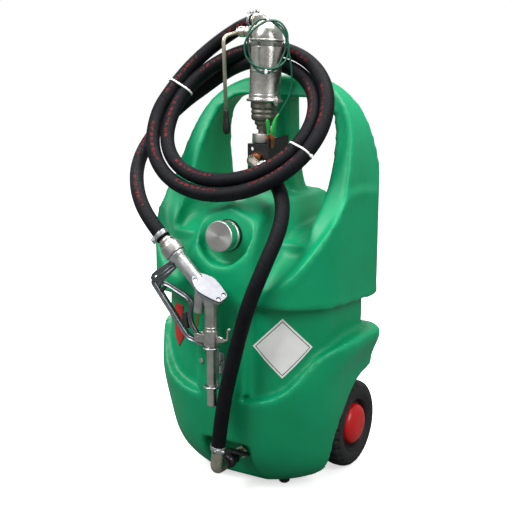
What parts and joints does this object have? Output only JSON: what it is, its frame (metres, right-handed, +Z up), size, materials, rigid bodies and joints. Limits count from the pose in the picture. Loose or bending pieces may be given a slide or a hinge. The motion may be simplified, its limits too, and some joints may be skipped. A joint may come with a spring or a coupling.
{
  "type": "fuel caddy",
  "caption": "Wheeled upright plastic fuel caddy with a handle arch, lever piston pump, coiled delivery hose and hand nozzle.",
  "frame": {"origin": "middle of the caddy's plan bounds, on the floor under the wheels and front feet", "axes": "+Z up, -Y towards the filler cap and nozzle, +X towards the camera's right when facing the front"},
  "size_m": [0.5462, 0.4593, 1.0193],
  "materials": {
    "tank_green": "satin",
    "rubber_black": "matte",
    "steel_zinc": "satin",
    "tyre_black": "matte",
    "rim_red": "satin",
    "nylon_white": "satin",
    "hub_red": "gloss",
    "neck_black": "matte",
    "cap_aluminium": "brushed",
    "bracket_black": "matte",
    "cast_grey": "rough",
    "pump_aluminium": "satin",
    "brass": "satin",
    "nickel": "satin",
    "copper": "satin",
    "lever_cream": "satin",
    "grip_black": "satin",
    "hose_black": "matte",
    "cable_green": "satin",
    "clip_green": "satin",
    "clip_copper": "satin",
    "nozzle_aluminium": "satin",
    "guard_grey": "satin",
    "tag_red": "gloss",
    "label_white": "satin",
    "valve_black": "satin",
    "tie_white": "satin"
  },
  "bodies": {
    "caddy": {"tank": "tank_green", "front_feet": "rubber_black", "axle": "steel_zinc", "axle_washers": "steel_zinc", "filler_neck": "neck_black", "pump_bracket": "bracket_black", "bracket_screws": "steel_zinc", "pump_foot": "cast_grey", "pump_tailpiece": "cast_grey", "pump_base": "pump_aluminium", "foot_valve": "brass", "pump_cylinder": "pump_aluminium", "pump_head": "pump_aluminium", "pump_head_screws": "steel_zinc", "shaft_gland": "nickel", "suction_elbow": "nickel", "elbow_nut": "copper", "delivery_coil": "hose_black", "delivery_tail": "hose_black", "suction_hose": "hose_black", "earth_hank": "cable_green", "earth_lead": "cable_green", "clip_fixed_jaw": "clip_green", "nozzle_body": "nozzle_aluminium", "nozzle_cover": "nozzle_aluminium", "cover_screws": "steel_zinc", "nozzle_spring": "steel_zinc", "nozzle_spout": "nozzle_aluminium", "trigger_pin": "steel_zinc", "nozzle_guard": "guard_grey", "nozzle_holder": "steel_zinc", "red_tag": "tag_red", "waist_label": "label_white", "drain_nipple": "nickel", "valve_body": "valve_black", "drain_elbow": "nickel", "hose_clamps": "steel_zinc", "zip_ties": "tie_white"},
    "left_wheel": {"left_tyre": "tyre_black", "left_rim": "rim_red", "left_bush": "nylon_white", "left_hub_cap": "hub_red"},
    "right_wheel": {"right_tyre": "tyre_black", "right_rim": "rim_red", "right_bush": "nylon_white", "right_hub_cap": "hub_red"},
    "cap": {"filler_cap": "cap_aluminium", "filler_gasket": "rubber_black"},
    "lever": {"pump_lever": "lever_cream", "lever_grip": "grip_black", "lever_shaft": "steel_zinc"},
    "piston": {"pump_piston": "steel_zinc", "piston_seal": "rubber_black"},
    "trigger": {"nozzle_trigger": "nozzle_aluminium"},
    "nozzle_poppet": {"nozzle_valve": "brass"},
    "swivel": {"inlet_swivel": "nickel"},
    "drain_tap": {"valve_handle": "valve_black", "valve_ball": "steel_zinc"},
    "clip_jaw": {"clip_moving_jaw": "clip_copper"}
  },
  "joints": [
    {"name": "left_wheel_turn", "type": "hinge", "parent": "caddy", "child": "left_wheel", "pos_m": [-0.152, 0.142, 0.1], "axis": [1, 0, 0], "continuous": true},
    {"name": "right_wheel_turn", "type": "hinge", "parent": "caddy", "child": "right_wheel", "pos_m": [0.152, 0.142, 0.1], "axis": [1, 0, 0], "continuous": true},
    {"name": "cap_turn", "type": "hinge", "parent": "caddy", "child": "cap", "pos_m": [0, -0.112, 0.57], "axis": [0, -0.9934, 0.1149], "continuous": true},
    {"name": "lever_swing", "type": "hinge", "parent": "caddy", "child": "lever", "pos_m": [-0.009, 0.06136, 0.97893], "axis": [-1, 0, 0], "range_deg": [0, 90]},
    {"name": "piston_stroke", "type": "slide", "parent": "caddy", "child": "piston", "axis": [0, 0.0698, 0.9976], "range_m": [-0.0193, 0]},
    {"name": "trigger_squeeze", "type": "hinge", "parent": "caddy", "child": "trigger", "pos_m": [-0.025, -0.187, 0.366], "axis": [0, 1, 0], "range_deg": [0, 14], "stiffness_Nm_per_rad": 0.5, "springref_deg": -11.46},
    {"name": "poppet_lift", "type": "slide", "parent": "caddy", "child": "nozzle_poppet", "axis": [-0.1392, 0, -0.9903], "range_m": [-0.006, 0]},
    {"name": "hose_swivel", "type": "hinge", "parent": "caddy", "child": "swivel", "pos_m": [-0.004, -0.185, 0.462], "axis": [-0.7254, 0, 0.6884], "continuous": true},
    {"name": "drain_tap_turn", "type": "hinge", "parent": "caddy", "child": "drain_tap", "pos_m": [0.002, -0.117, 0.068], "axis": [0, 0, 1], "range_deg": [0, 90]},
    {"name": "clip_squeeze", "type": "hinge", "parent": "caddy", "child": "clip_jaw", "pos_m": [0.019, 0.029, 0.766], "axis": [0, 1, 0], "range_deg": [0, 8], "stiffness_Nm_per_rad": 0.1, "springref_deg": -11.46}
  ],
  "couplings": [
    {"joint": "piston_stroke", "follows": "lever_swing", "m_per_rad": -0.012},
    {"joint": "poppet_lift", "follows": "trigger_squeeze", "m_per_rad": -0.0245}
  ]
}
